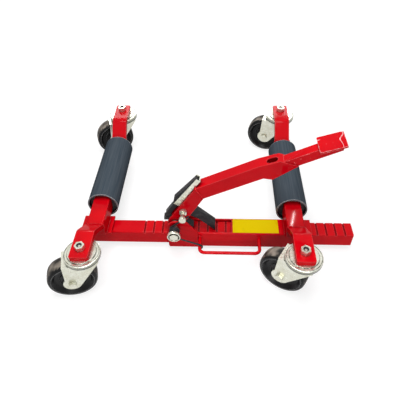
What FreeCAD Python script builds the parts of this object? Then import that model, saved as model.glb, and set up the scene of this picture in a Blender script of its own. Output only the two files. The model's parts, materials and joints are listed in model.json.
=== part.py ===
import FreeCAD, Part
import math
import os

# Wheel dolly: two roller arms on casters, drawn together under a tyre by a foot-pumped ratchet bar.
# Millimetres, +Z up, +X to the right, +Y to the back; the origin is on the floor under the tyre's centre.

# Layout
arm_spacing = 470.0
roller_axis_height = 83.0
roller_clearance = 7.5

# Ratchet bar and its sleeve
bar_size = 40.0
bar_wall = 5.0
bar_length = 660.0
bar_left_overhang = 45.0
tube_round = 3.0
slide_clearance = 0.5
sleeve_wall = 4.5
sleeve_length = 346.5
sleeve_right_overhang = 45.0
slot_pitch = 22.0
slot_width = 4.4
slot_depth = 4.0
slot_count = 23
slot_end_margin = 20.0
window_left = 26.5
window_length = 128.0

# Saddle under the left arm
saddle_length = 76.0
saddle_depth = 55.0

# Blank yellow plate
plate_depth = 43.0
plate_thickness = 0.8
plate_window_gap = 3.0
plate_arm_gap = 14.0

# Roller arms
arm_size = 40.0
arm_wall = 3.0
arm_front_reach = 35.0
arm_rear_reach = 21.0
cap_thickness = 4.0
cap_clearance = 0.1

# Rollers
roller_length = 234.0
roller_diameter = 76.0
roller_end_bore = 70.0
roller_mid_bore = 66.0
left_roller_back = 10.0
bush_length = 15.0
bush_recess = 12.0

# Caster brackets, bent from flat bar
bracket_thickness = 12.0
bracket_bend_radius = 8.0
bracket_corner = 4.0
front_stem_reach = 102.0
rear_stem_reach = 94.0
seat_inner = 50.0
seat_outer = 25.0

# Casters
wheel_diameter = 110.0
wheel_width = 37.0
wheel_corner = 7.0
dish_mouth_diameter = 90.0
dish_floor_diameter = 78.0
dish_depth = 10.0
hub_diameter = 34.0
hub_length = 39.0
hub_ring_diameter = 56.0
hub_ring_width = 3.0
hub_ring_height = 4.0
caster_trail = 36.0
fork_sheet = 3.5
fork_inner_gap = 40.0
fork_headroom = 1.5
fork_lobe_radius = 20.0
fork_leg_front = 31.0
fork_leg_back = 46.5
fork_notch_along = 14.0
fork_notch_rise = 10.0
crown_diameter = 72.0
race_diameter = 80.0
race_height = 12.0
race_wall = 3.0
race_round = 2.5
race_rim_diameter = 62.0
race_rim_height = 2.0
race_gap = 3.0
ball_diameter = 8.0
ball_count = 12
ball_circle = 58.0
ball_track = 10.0
king_diameter = 12.0
king_flats = 19.0
king_head = 6.0
king_nut_height = 11.0
king_thread_stop = 3.0
axle_diameter = 10.0
axle_flats = 16.0
axle_head = 2.5
axle_head_diameter = 15.0
axle_head_round = 1.2
axle_nut_height = 7.0
axle_bush_diameter = 14.0
front_left_angle = 195.0
front_right_angle = 149.0
rear_left_angle = 199.0
rear_right_angle = 162.0

# Pedal pivot
pivot_inset = 19.5
pivot_rise = 25.0
pivot_diameter = 12.0
pivot_flats = 19.0
pivot_head = 5.5
pivot_nut_height = 10.0
pivot_end = 2.0
washer_diameter = 31.0
washer_thickness = 2.5
washer_rim = 2.5
washer_cup = 4.5
cheek_thickness = 4.0
cheek_round = 18.0
cheek_length = 71.0
cheek_shoulder = 7.0
cheek_crest = 27.0
cheek_foot = 2.0
spacer_diameter = 20.0

# Return spring
spring_wire = 4.0
spring_radius = 10.5
spring_pitch = 4.5
spring_whole_turns = 3
spring_leg_beyond = 12.0
spring_hook_turn = 150.0
spring_tube_diameter = 16.0

# Carry handle
handle_rod = 8.0
handle_left = 78.3
handle_length = 142.0
handle_reach = 47.0
handle_drop = 14.0
handle_bend = 12.0

# Pedal
pedal_width = 28.0
pedal_sheet = 3.5
leg_angle = 57.1
leg_half_depth = 18.2
leg_back_length = 121.2
leg_front_length = 106.4
leg_front_depth = 12.8
leg_web_start = 14.0
arm_sheet = 2.5
arm_angle = 26.3
arm_run = 150.0
arm_end = 223.6
arm_end_bottom = 34.2
arm_top_end = 193.0
arm_top_drop = 5.8
arm_floor_end = 205.0
arm_knee = 162.0
arm_knee_depth = 46.0
arm_throat = 145.5
arm_throat_depth = 34.5
arm_slot_start = 166.0
arm_slot_length = 24.0
arm_slot_width = 16.0
arm_slot_forward = 2.5
extension_angle = 26.3
extension_height = 22.0
extension_wall = 2.5
extension_reach = 250.0
extension_drop = 23.9
extension_inside = 31.0
pad_start = 22.0
pad_length = 54.0
pad_width = 50.0
pad_thickness = 4.0
pad_corner = 3.0
pad_angle = 18.5
pad_overhang = 10.0

# Drive pawl and its bolt
pawl_bolt_along = 45.0
pawl_bolt_back = 4.5
pawl_bolt_diameter = 10.0
pawl_bolt_flats = 16.0
pawl_bolt_nut = 7.0
pawl_bolt_head = 7.0
pawl_bolt_head_diameter = 16.0
pawl_bolt_reach = 23.0
pawl_width = 20.0
pawl_slope = 45.0
pawl_tip_reach = 95.2
pawl_thickness = 15.6
pawl_hub_radius = 9.0
pawl_neck = 45.0
pawl_heel = 6.0
pawl_lift = 0.4

# Holding pawl
hold_hub_radius = 13.5
hold_tip_along = 39.0
hold_thickness = 14.0
hold_heel_along = 27.0
hold_heel_gap = 0.4
hold_heel_thickness = 8.0

# Release bar, its channel and pin
channel_sheet = 2.0
channel_width = 18.0
channel_depth = 15.0
channel_end_depth = 10.5
channel_start = 50.0
channel_end = 143.0
release_width = 13.0
release_gap = 0.6
release_top = 139.0
release_top_back = 29.7
release_tab = 63.5
release_tab_back = 39.4
release_step = 45.0
release_tail_back = 32.0
release_tail_end = 10.0
release_tip_along = 1.0
release_tip_width = 7.5
release_travel = 8.0
release_pin_along = 110.0
release_pin_back = 25.0
release_pin_diameter = 6.0
release_pin_head = 1.5
release_pin_head_diameter = 9.0

# Fits
running_fit = 0.05
bolt_clearance = 0.3
face_gap = 0.3
overrun = 5.0

# Derived places
caster_angles = {"front_left": front_left_angle, "front_right": front_right_angle,
                 "rear_left": rear_left_angle, "rear_right": rear_right_angle}
arm_top = roller_axis_height + arm_size / 2
arm_bottom = roller_axis_height - arm_size / 2
bar_offset = roller_length / 2 + roller_clearance + saddle_depth / 2
arm_x = {"left": -arm_spacing / 2, "right": arm_spacing / 2}
arm_front = -bar_offset - arm_front_reach
arm_rear = roller_length / 2 + arm_rear_reach
sleeve_size = bar_size + 2 * (slide_clearance + sleeve_wall)
sleeve_top = arm_bottom
bar_axis_z = sleeve_top - sleeve_size / 2
bar_top = bar_axis_z + bar_size / 2
bar_left = arm_x["left"] - bar_left_overhang
bar_right = bar_left + bar_length
sleeve_right = arm_x["right"] + sleeve_right_overhang
sleeve_left = sleeve_right - sleeve_length
sleeve_front = -bar_offset - sleeve_size / 2
sleeve_back = -bar_offset + sleeve_size / 2
window_start = sleeve_left + window_left
window_end = window_start + window_length
plate_start = window_end + plate_window_gap
plate_end = arm_x["right"] - arm_size / 2 - plate_arm_gap
crown_low = wheel_diameter + fork_headroom
crown_top = crown_low + fork_sheet
seat_bottom = crown_top + race_gap + race_height
seat_top = seat_bottom + bracket_thickness
bracket_rise = seat_top - arm_top
stem_y = {"front": arm_front - front_stem_reach, "rear": arm_rear + rear_stem_reach}
pivot_x = sleeve_left + pivot_inset
pivot_z = sleeve_top + pivot_rise
cheek_front = sleeve_front - cheek_thickness
cheek_back = sleeve_back + cheek_thickness
pedal_front = -bar_offset - pedal_width / 2
pedal_back = -bar_offset + pedal_width / 2
extension_width = pedal_width - 2 * (arm_sheet + bolt_clearance)

V = FreeCAD.Vector
X_AXIS = V(1, 0, 0)
Y_AXIS = V(0, 1, 0)
Z_AXIS = V(0, 0, 1)


# Shape helpers

def box(x0, x1, y0, y1, z0, z1):
    """Box between two corners."""
    return Part.makeBox(x1 - x0, y1 - y0, z1 - z0, V(x0, y0, z0))


def rod(diameter, start, end):
    """Round bar between two points."""
    run = end - start
    return Part.makeCylinder(diameter / 2, run.Length, start, run)


def tube(outer, inner, start, end):
    """Round tube between two points."""
    run = end - start
    past = V(run).normalize() * overrun
    return rod(outer, start, end).cut(rod(inner, start - past, end + past))


def prism(points, run):
    """Extrude a closed outline of points."""
    wire = Part.makePolygon(points + points[:1])
    return Part.Face(wire).extrude(run)


def plate_along_y(outline, y0, y1):
    """Extrude an outline of (x, z) points from y0 to y1."""
    points = [V(x, y0, z) for x, z in outline]
    return prism(points, V(0, y1 - y0, 0))


def hexagon(flats, start, end):
    """Hexagonal bar between two points, with one flat pair square to Z or X."""
    run = end - start
    side = V(0, 0, 1) if abs(run.z) < run.Length / 2 else V(1, 0, 0)
    other = V(run).normalize().cross(side)
    radius = flats / math.sqrt(3)
    turns = [math.radians(60 * k) for k in range(6)]
    points = [start + side * (radius * math.cos(a)) + other * (radius * math.sin(a)) for a in turns]
    return prism(points, run)


def straight_edges(shape, axis, test):
    """Straight edges parallel to an axis whose middle passes a test."""
    chosen = []
    for edge in shape.Edges:
        if edge.Curve.TypeId == "Part::GeomLine":
            along = abs(edge.tangentAt(edge.FirstParameter).dot(axis))
            if along > math.cos(math.radians(1)) and test(edge.CenterOfMass):
                chosen.append(edge)
    return chosen


def rounded(shape, radius, axis, test=lambda middle: True):
    """Round the chosen straight edges of a shape."""
    return shape.makeFillet(radius, straight_edges(shape, axis, test))


def square_tube(axis, start, end, mid_a, mid_b, size, wall):
    """Square tube along X or Y with rounded outer corners."""
    def block(side, past):
        half = side / 2
        if axis == X_AXIS:
            return box(start - past, end + past, mid_a - half, mid_a + half, mid_b - half, mid_b + half)
        return box(mid_a - half, mid_a + half, start - past, end + past, mid_b - half, mid_b + half)
    return rounded(block(size, 0), tube_round, axis).cut(block(size - 2 * wall, overrun))


def on_leg(along, back):
    """Point (x, z) of the pedal's side view, along the leg from the pivot and out of its back."""
    turn = math.radians(leg_angle)
    return (pivot_x + along * math.cos(turn) - back * math.sin(turn),
            pivot_z + along * math.sin(turn) + back * math.cos(turn))


def at_y(point, y):
    """Point of the pedal's side view at a place across it."""
    return V(point[0], y, point[1])


def across(diameter, point, y0, y1):
    """Round bar across the pedal."""
    return rod(diameter, at_y(point, y0), at_y(point, y1))


# Ratchet bar, saddle and sleeve

def make_ratchet_bar():
    bar = square_tube(X_AXIS, bar_left, bar_right, -bar_offset, bar_axis_z, bar_size, bar_wall)
    half = bar_size / 2 + overrun
    for k in range(slot_count):
        middle = bar_right - slot_end_margin - k * slot_pitch
        bar = bar.cut(box(middle - slot_width / 2, middle + slot_width / 2, -bar_offset - half,
                          -bar_offset + half, bar_top - slot_depth, bar_top + overrun))
    return bar


def make_saddle_plate():
    half = saddle_depth / 2
    return box(bar_left, bar_left + saddle_length, -bar_offset - half, -bar_offset + half, bar_top, arm_bottom)


def make_sleeve_tube():
    sleeve = square_tube(X_AXIS, sleeve_left, sleeve_right, -bar_offset, bar_axis_z, sleeve_size, sleeve_wall)
    half = sleeve_size / 2 - sleeve_wall
    window = box(window_start, window_end, -bar_offset - half, -bar_offset + half,
                 bar_axis_z, sleeve_top + overrun)
    return sleeve.cut(window)


def make_yellow_plate():
    half = plate_depth / 2
    return box(plate_start, plate_end, -bar_offset - half, -bar_offset + half,
               sleeve_top, sleeve_top + plate_thickness)


# Roller arms, caps, bushes and rollers

def make_arm(side):
    return square_tube(Y_AXIS, arm_front, arm_rear, arm_x[side], roller_axis_height, arm_size, arm_wall)


def make_arm_caps(side):
    half = arm_size / 2 - arm_wall - cap_clearance
    low, high = roller_axis_height - half, roller_axis_height + half
    starts = (arm_front, arm_rear - cap_thickness)
    return [box(arm_x[side] - half, arm_x[side] + half, y, y + cap_thickness, low, high) for y in starts]


def roller_ends(side):
    """Front and back ends of a roller, with the direction that leads inwards."""
    middle = left_roller_back if side == "left" else 0
    return ((middle - roller_length / 2, 1), (middle + roller_length / 2, -1))


def make_roller_bushes(side):
    half = arm_size / 2 + cap_clearance
    bushes = []
    for end, inward in roller_ends(side):
        start = V(arm_x[side], end + inward * bush_recess, roller_axis_height)
        stop = start + V(0, inward * bush_length, 0)
        ring = rod(roller_end_bore - 2 * running_fit, start, stop)
        hole = box(arm_x[side] - half, arm_x[side] + half, -roller_length, roller_length,
                   roller_axis_height - half, roller_axis_height + half)
        bushes.append(ring.cut(hole))
    return bushes


def make_roller(side):
    front, back = [V(arm_x[side], end, roller_axis_height) for end, inward in roller_ends(side)]
    roller = tube(roller_diameter, roller_mid_bore, front, back)
    depth = bush_recess + bush_length + face_gap
    for end, inward in roller_ends(side):
        start = V(arm_x[side], end - inward * overrun, roller_axis_height)
        stop = V(arm_x[side], end + inward * depth, roller_axis_height)
        roller = roller.cut(rod(roller_end_bore, start, stop))
    return roller


# Caster brackets

def make_bracket(side, end):
    outward = -1 if end == "front" else 1
    foot = arm_front if end == "front" else arm_rear
    stem = stem_y[end]
    bend = stem - outward * seat_inner
    slope = bracket_rise / abs(bend - foot)
    drop = bracket_thickness * math.hypot(1, slope)
    low_bend = foot + outward * (bracket_rise - bracket_thickness + drop) / slope
    tip = stem + outward * seat_outer
    outline = [(foot, arm_top), (bend, seat_top), (tip, seat_top), (tip, seat_bottom),
               (low_bend, seat_bottom), (foot, arm_top - drop)]
    left = arm_x[side] - arm_size / 2
    shape = prism([V(left, y, z) for y, z in outline], V(arm_size, 0, 0))
    shape = rounded(shape, bracket_bend_radius + bracket_thickness, X_AXIS,
                    lambda m: abs(m.y - bend) < bracket_corner and m.z > seat_top - bracket_corner)
    shape = rounded(shape, bracket_bend_radius, X_AXIS,
                    lambda m: abs(m.y - low_bend) < bracket_corner and abs(m.z - seat_bottom) < bracket_corner)
    shape = rounded(shape, bracket_corner, Z_AXIS, lambda m: abs(m.y - tip) < bracket_corner)
    hole = rod(king_diameter + 2 * bolt_clearance, V(arm_x[side], stem, seat_bottom - overrun),
               V(arm_x[side], stem, seat_top + overrun))
    return shape.cut(hole)


# Casters, built with the stem on the Z axis and the wheel trailing along +X

axle_height = wheel_diameter / 2
track_top = seat_bottom - race_wall - ball_diameter - 2 * face_gap
leg_outer = fork_inner_gap / 2 + fork_sheet


def upright(diameter, low, high):
    """Round bar on the stem's axis."""
    return rod(diameter, V(0, 0, low), V(0, 0, high))


def on_axle(diameter, start, end):
    """Round bar on the wheel's axis."""
    return rod(diameter, V(caster_trail, start, axle_height), V(caster_trail, end, axle_height))


def axle_hexagon(start, end):
    return hexagon(axle_flats, V(caster_trail, start, axle_height), V(caster_trail, end, axle_height))


def make_race():
    low = seat_bottom - race_height
    cup = upright(race_diameter, low, seat_bottom - race_rim_height)
    top_edge = [e for e in cup.Edges if abs(e.CenterOfMass.z - seat_bottom + race_rim_height) < race_wall / 2]
    cup = cup.makeFillet(race_round, top_edge[:1])
    cup = cup.fuse(upright(race_rim_diameter, low, seat_bottom))
    cup = cup.cut(upright(race_diameter - 2 * race_wall, low - overrun, seat_bottom - race_wall))
    return cup.cut(upright(king_diameter + 2 * bolt_clearance, low, seat_bottom + overrun))


def make_balls():
    height = track_top + face_gap + ball_diameter / 2
    balls = []
    for k in range(ball_count):
        turn = 2 * math.pi * k / ball_count
        centre = V(ball_circle / 2 * math.cos(turn), ball_circle / 2 * math.sin(turn), height)
        balls.append(Part.makeSphere(ball_diameter / 2, centre))
    return balls


def lobe_tangent(x, z):
    """Point where a line from the fork's front meets the lobe round the axle."""
    dx, dz = caster_trail - x, axle_height - z
    turn = math.atan2(dz, dx) - math.asin(fork_lobe_radius / math.hypot(dx, dz)) - math.pi / 2
    return caster_trail + fork_lobe_radius * math.cos(turn), axle_height + fork_lobe_radius * math.sin(turn)


def make_fork():
    fork = upright(crown_diameter, crown_low, crown_top)
    fork = fork.fuse(box(-fork_leg_front, fork_leg_back, -leg_outer, leg_outer, crown_low, crown_top))
    track = tube(ball_circle + ball_track, ball_circle - ball_track, V(0, 0, crown_top - fork_sheet / 2),
                 V(0, 0, track_top))
    fork = fork.fuse(track)
    outline = [(-fork_leg_front, crown_low), (fork_leg_back, crown_low),
               (caster_trail + fork_notch_along, axle_height + fork_notch_rise), (caster_trail, axle_height),
               lobe_tangent(-fork_leg_front, crown_low)]
    for inner, outer in ((-leg_outer + fork_sheet, -leg_outer), (leg_outer - fork_sheet, leg_outer)):
        leg = plate_along_y(outline, inner, outer)
        lobe = on_axle(2 * fork_lobe_radius, inner, outer)
        fork = fork.fuse(leg.fuse(lobe))
    fork = fork.removeSplitter()
    fork = fork.cut(upright(king_diameter + 2 * running_fit, crown_low - overrun, track_top + overrun))
    return fork.cut(on_axle(axle_diameter + 2 * bolt_clearance, -leg_outer - overrun, leg_outer + overrun))


def make_king_set():
    head_top = crown_low - face_gap
    head = hexagon(king_flats, V(0, 0, head_top - king_head), V(0, 0, head_top))
    shank = upright(king_diameter, head_top - king_head / 2, seat_top + king_nut_height - king_thread_stop)
    nut = hexagon(king_flats, V(0, 0, seat_top), V(0, 0, seat_top + king_nut_height))
    nut = nut.cut(upright(king_diameter + 2 * running_fit, seat_top - overrun,
                          seat_top + king_nut_height + overrun))
    return [head.fuse(shank).removeSplitter(), nut]


def make_axle_set():
    head = on_axle(axle_head_diameter, -leg_outer - axle_head, -leg_outer)
    rims = [e for e in head.Edges if e.Curve.TypeId == "Part::GeomCircle"]
    head = head.makeFillet(axle_head_round, [min(rims, key=lambda e: e.CenterOfMass.y)])
    shank = on_axle(axle_diameter, -leg_outer - axle_head / 2, leg_outer + axle_nut_height)
    nut_end = leg_outer + axle_nut_height
    nut = axle_hexagon(leg_outer, nut_end)
    nut = nut.cut(on_axle(axle_diameter + 2 * running_fit, leg_outer - overrun, nut_end + overrun))
    half = fork_inner_gap / 2 - face_gap
    bush = on_axle(axle_bush_diameter, -half, half)
    bush = bush.cut(on_axle(axle_diameter + 2 * running_fit, -half - overrun, half + overrun))
    return [head.fuse(shank).removeSplitter(), nut, bush]


def make_wheel():
    half = wheel_width / 2
    wheel = on_axle(wheel_diameter, -half, half)
    rims = [e for e in wheel.Edges if e.Curve.TypeId == "Part::GeomCircle"]
    wheel = wheel.makeFillet(wheel_corner, rims)
    for sign in (-1, 1):
        floor = sign * (half - dish_depth)
        mouth = V(caster_trail, sign * half, axle_height)
        dish = Part.makeCone(dish_mouth_diameter / 2, dish_floor_diameter / 2, dish_depth, mouth,
                             V(0, -sign, 0))
        wheel = wheel.cut(dish)
        ring = tube(hub_ring_diameter, hub_ring_diameter - 2 * hub_ring_width,
                    V(caster_trail, floor, axle_height),
                    V(caster_trail, floor + sign * hub_ring_height, axle_height))
        wheel = wheel.fuse(ring)
    wheel = wheel.fuse(on_axle(hub_diameter, -hub_length / 2, hub_length / 2)).removeSplitter()
    bore = axle_bush_diameter + 2 * running_fit
    return wheel.cut(on_axle(bore, -hub_length, hub_length))


def place_caster(shapes, end, side):
    """Turn caster pieces to their swivel angle and set them under their bracket."""
    turn = caster_angles[end + "_" + side]
    placed = []
    for shape in shapes:
        copy = shape.copy()
        copy.rotate(V(0, 0, 0), Z_AXIS, turn)
        copy.translate(V(arm_x[side], stem_y[end], 0))
        placed.append(copy)
    return placed


# Cheeks, pivot bolt and spacers

pivot = (pivot_x, pivot_z)


def make_cheek(y0, y1):
    low = bar_axis_z - sleeve_size / 2 + cheek_foot
    right = pivot_x - cheek_round + cheek_length
    crest = pivot_z + cheek_round
    outline = [(pivot_x - cheek_round, low), (right, low), (right, sleeve_top + cheek_shoulder),
               (pivot_x + cheek_crest, crest), (pivot_x, crest), (pivot_x, pivot_z),
               (pivot_x - cheek_round, pivot_z)]
    cheek = plate_along_y(outline, y0, y1).fuse(across(2 * cheek_round, pivot, y0, y1)).removeSplitter()
    return cheek.cut(across(pivot_diameter + 2 * bolt_clearance, pivot, y0 - overrun, y1 + overrun))


pawl_bolt = on_leg(pawl_bolt_along, pawl_bolt_back)
handle_x = sleeve_left + handle_left
handle_z = sleeve_top - handle_drop
bolt_wrap = pawl_bolt_diameter / 2 + spring_wire / 2 + face_gap
hook_radius = handle_rod / 2 + spring_wire / 2 + face_gap
hook_centre = (handle_x, handle_z)
spring_back = cheek_front - spring_wire / 2 - face_gap
spring_slope = spring_pitch / (2 * math.pi * spring_radius)


def cross_tangent(to_point, to_radius):
    """Direction to a point from the pivot, lean of the line that crosses between them, and its run."""
    dx, dz = to_point[0] - pivot_x, to_point[1] - pivot_z
    lean = math.asin((spring_radius + to_radius) / math.hypot(dx, dz))
    return math.atan2(dz, dx), lean, math.hypot(dx, dz) * math.cos(lean)


bolt_aim, bolt_lean, bolt_run = cross_tangent(pawl_bolt, bolt_wrap)
hook_aim, hook_lean, hook_run = cross_tangent(hook_centre, hook_radius)
leg_heading = bolt_aim - bolt_lean
leg_run = bolt_run + spring_leg_beyond
coil_entry = leg_heading + math.pi / 2
exit_heading = hook_aim + hook_lean
coil_turn = (exit_heading - math.pi / 2 - coil_entry) % (2 * math.pi) + 2 * math.pi * spring_whole_turns
coil_front = spring_back - spring_slope * (leg_run + spring_radius * coil_turn)
washer_run = math.sqrt((washer_diameter / 2 + spring_wire / 2) ** 2 - spring_radius ** 2)
washer_back = coil_front - spring_slope * washer_run - spring_wire / 2 - face_gap
washer_front = washer_back - washer_thickness


def make_pivot_bolt():
    end = cheek_back + pivot_nut_height + pivot_end
    head = hexagon(pivot_flats, at_y(pivot, washer_front - pivot_head), at_y(pivot, washer_front))
    shank = across(pivot_diameter, pivot, washer_front - pivot_head / 2, end)
    return head.fuse(shank).removeSplitter()


def make_pivot_nut_and_washer():
    hole = across(pivot_diameter + 2 * running_fit, pivot, washer_front - overrun,
                  cheek_back + pivot_nut_height + overrun)
    cup_front = washer_front - washer_cup
    washer = across(washer_diameter, pivot, cup_front, washer_back)
    washer = washer.cut(across(washer_diameter - 2 * washer_rim, pivot, cup_front - overrun, washer_front))
    nut = hexagon(pivot_flats, at_y(pivot, cheek_back), at_y(pivot, cheek_back + pivot_nut_height))
    return [washer.cut(hole), nut.cut(hole)]


def make_pivot_spacers():
    bore = pivot_diameter + 2 * running_fit
    spans = ((sleeve_front, pedal_front - face_gap), (pedal_back + face_gap, sleeve_back))
    spacers = [tube(spacer_diameter, bore, at_y(pivot, a), at_y(pivot, b)) for a, b in spans]
    front = tube(spring_tube_diameter, bore, at_y(pivot, washer_back), at_y(pivot, cheek_front))
    return spacers + [front]


# Return spring: constant-slope path round the pivot, from the pawl bolt to the carry handle

def lifted(x, z, run):
    """Point of the wire after a run along its side view; the wire steps forward as it runs."""
    return V(x, spring_back - spring_slope * run, z)


def heading(angle):
    """Unit direction of the wire at an angle of its side view."""
    return V(math.cos(angle), -spring_slope, math.sin(angle)).normalize()


def arc_from(start, direction, end):
    """Arc that leaves start along a direction and reaches end."""
    chord = end - start
    unit = V(chord).normalize()
    side = direction - unit * direction.dot(unit)
    sagitta = chord.Length / 2 * math.tan(direction.getAngle(chord) / 2)
    return start + chord / 2 + side.normalize() * sagitta


def biarc(p0, t0, p1, t1):
    """Two arcs that join two points and their directions smoothly."""
    chord = p1 - p0
    bend = 2 * (1 - t0.dot(t1))
    lean = chord.dot(t0 + t1)
    reach = (math.sqrt(lean * lean + bend * chord.dot(chord)) - lean) / bend
    joint = (p0 + p1 + (t0 - t1) * reach) / 2
    first = Part.Arc(p0, arc_from(p0, t0, joint), joint)
    second = Part.Arc(joint, arc_from(p1, t1 * -1, joint), p1)
    return [first.toShape(), second.toShape()]


def wound(centre, radius, begin, turn, start_run):
    """Edges of the wire wound round a centre in quarter turns at most, and the run at their end."""
    steps = math.ceil(abs(turn) / (math.pi / 2))
    edges = []
    last = None
    for k in range(steps + 1):
        angle = begin + turn * k / steps
        run = start_run + radius * abs(angle - begin)
        point = lifted(centre[0] + radius * math.cos(angle), centre[1] + radius * math.sin(angle), run)
        tangent = heading(angle + math.copysign(math.pi / 2, turn))
        if last:
            edges += biarc(last[0], last[1], point, tangent)
        last = (point, tangent)
    return edges, start_run + radius * abs(turn)


def make_return_spring():
    meet_x = pivot_x + spring_radius * math.cos(coil_entry)
    meet_z = pivot_z + spring_radius * math.sin(coil_entry)
    start = lifted(meet_x + leg_run * math.cos(leg_heading), meet_z + leg_run * math.sin(leg_heading), 0)
    meet = lifted(meet_x, meet_z, leg_run)
    coil, run = wound(pivot, spring_radius, coil_entry, coil_turn, leg_run)
    hook_begin = exit_heading + math.pi / 2
    hook, _ = wound(hook_centre, hook_radius, hook_begin, -math.radians(spring_hook_turn), run + hook_run)
    leg = Part.LineSegment(coil[-1].Vertexes[-1].Point, hook[0].Vertexes[0].Point).toShape()
    path = Part.Wire([Part.LineSegment(start, meet).toShape()] + coil + [leg] + hook)
    ring = Part.Wire(Part.makeCircle(spring_wire / 2, start, meet - start))
    print("spring self-gap", round(self_gap(coil) - spring_wire, 3))
    return path.makePipeShell([ring], True, False)


def self_gap(edges):
    """Least distance between points of the wound wire that lie more than half a turn apart."""
    points = [p for edge in edges for p in edge.discretize(12)]
    skip = len(points) // (2 * (spring_whole_turns + 1))
    gaps = [points[i].distanceToPoint(points[j])
            for i in range(len(points)) for j in range(i + skip, len(points))]
    return min(gaps)


# Carry handle

def make_carry_handle():
    x0, x1 = handle_x, handle_x + handle_length
    y0, y1 = sleeve_front, sleeve_front - handle_reach
    corner = handle_bend * (1 - math.sqrt(0.5))

    def at(x, y):
        return V(x, y, handle_z)

    path = [Part.LineSegment(at(x0, y0), at(x0, y1 + handle_bend)),
            Part.Arc(at(x0, y1 + handle_bend), at(x0 + corner, y1 + corner), at(x0 + handle_bend, y1)),
            Part.LineSegment(at(x0 + handle_bend, y1), at(x1 - handle_bend, y1)),
            Part.Arc(at(x1 - handle_bend, y1), at(x1 - corner, y1 + corner), at(x1, y1 + handle_bend)),
            Part.LineSegment(at(x1, y1 + handle_bend), at(x1, y0))]
    ring = Part.Wire(Part.makeCircle(handle_rod / 2, at(x0, y0), Y_AXIS))
    return Part.Wire([piece.toShape() for piece in path]).makePipeShell([ring], True, False)


# Pedal: leg, arm, extension and foot pad

def make_pedal_leg():
    outline = [on_leg(0, leg_half_depth), on_leg(0, -leg_half_depth),
               on_leg(leg_front_length, -leg_front_depth), on_leg(leg_back_length, leg_half_depth)]
    leg = plate_along_y(outline, pedal_front, pedal_back)
    leg = leg.fuse(across(2 * leg_half_depth, pivot, pedal_front, pedal_back)).removeSplitter()
    far = leg_back_length + overrun
    web_face = leg_half_depth - pedal_sheet
    hollow = [on_leg(-far, -far), on_leg(far, -far), on_leg(far, web_face), on_leg(-far, web_face)]
    leg = leg.cut(plate_along_y(hollow, pedal_front + pedal_sheet, pedal_back - pedal_sheet))
    mouth = [on_leg(-far, 0), on_leg(leg_web_start, 0), on_leg(leg_web_start, far), on_leg(-far, far)]
    leg = leg.cut(plate_along_y(mouth, pedal_front + pedal_sheet, pedal_back - pedal_sheet))
    leg = leg.cut(across(pivot_diameter + 2 * running_fit, pivot, pedal_front - overrun, pedal_back + overrun))
    return leg.cut(across(pawl_bolt_diameter + 2 * bolt_clearance, pawl_bolt,
                          pedal_front - overrun, pedal_back + overrun))


arm_root = on_leg(leg_back_length, leg_half_depth)


def on_arm(along, down):
    """Point (x, z) of the pedal's side view, along the arm's top from the bend and below it."""
    turn = math.radians(arm_angle)
    return (arm_root[0] + along * math.cos(turn) + down * math.sin(turn),
            arm_root[1] + along * math.sin(turn) - down * math.cos(turn))


extension_mid = on_arm(extension_reach, extension_drop)


def on_extension(along, up):
    """Point (x, z) of the pedal's side view, along the extension from its middle and above its axis."""
    turn = math.radians(extension_angle)
    return (extension_mid[0] + along * math.cos(turn) - up * math.sin(turn),
            extension_mid[1] + along * math.sin(turn) + up * math.cos(turn))


extension_start = arm_end - extension_reach - extension_inside
extension_end = pad_start + pad_length - pad_overhang


def extension_block(height, width, past):
    half = height / 2
    outline = [on_extension(extension_start - past, -half), on_extension(extension_end + past, -half),
               on_extension(extension_end + past, half), on_extension(extension_start - past, half)]
    return plate_along_y(outline, -bar_offset - width / 2, -bar_offset + width / 2)


def make_pedal_arm():
    foot = on_leg(leg_front_length, -leg_front_depth)
    outline = [arm_root, on_arm(arm_run, 0), on_arm(arm_top_end, arm_top_drop), on_arm(arm_end, arm_end_bottom),
               on_arm(arm_knee, arm_knee_depth), on_arm(arm_throat, arm_throat_depth), foot]
    arm = plate_along_y(outline, pedal_front, pedal_back)
    wire = Part.makePolygon([V(x, pedal_front + arm_sheet, z) for x, z in outline + outline[:1]])
    inside = Part.Face(wire).makeOffset2D(-arm_sheet, 2)
    arm = arm.cut(inside.extrude(V(0, pedal_width - 2 * arm_sheet, 0)))
    play = 2 * bolt_clearance
    arm = arm.cut(extension_block(extension_height + play, extension_width + play, overrun))
    far = arm_end + overrun
    mouth = [on_arm(arm_floor_end, extension_drop), on_arm(far, extension_drop),
             on_arm(far, arm_knee_depth), on_arm(arm_floor_end, arm_knee_depth)]
    inner = extension_width / 2 + bolt_clearance
    arm = arm.cut(plate_along_y(mouth, -bar_offset - inner, -bar_offset + inner))
    half = arm_slot_width / 2
    middle = -bar_offset - arm_slot_forward
    floor = arm_top_drop + 2 * arm_sheet
    first = arm_slot_start + half
    last = arm_slot_start + arm_slot_length - half
    slot = [on_arm(first, -overrun), on_arm(last, -overrun), on_arm(last, floor), on_arm(first, floor)]
    arm = arm.cut(plate_along_y(slot, middle - half, middle + half))
    for along in (first, last):
        arm = arm.cut(rod(arm_slot_width, at_y(on_arm(along, -overrun), middle),
                          at_y(on_arm(along, floor), middle)))
    return arm


pad_root = on_extension(pad_start, extension_height / 2)


def pad_block(thickness, width):
    """Plate of the foot pad's length that starts on the extension's top and lies at the pad's angle."""
    turn = math.radians(pad_angle)
    dx, dz = pad_length * math.cos(turn), pad_length * math.sin(turn)
    ux, uz = -thickness * math.sin(turn), thickness * math.cos(turn)
    x, z = pad_root
    outline = [(x, z), (x + dx, z + dz), (x + dx + ux, z + dz + uz), (x + ux, z + uz)]
    return plate_along_y(outline, -bar_offset - width / 2, -bar_offset + width / 2)


def make_pedal_extension():
    bar = extension_block(extension_height, extension_width, 0)
    walls = 2 * extension_wall
    bar = bar.cut(extension_block(extension_height - walls, extension_width - walls, overrun))
    return bar.cut(pad_block(extension_height, pad_width))


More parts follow.
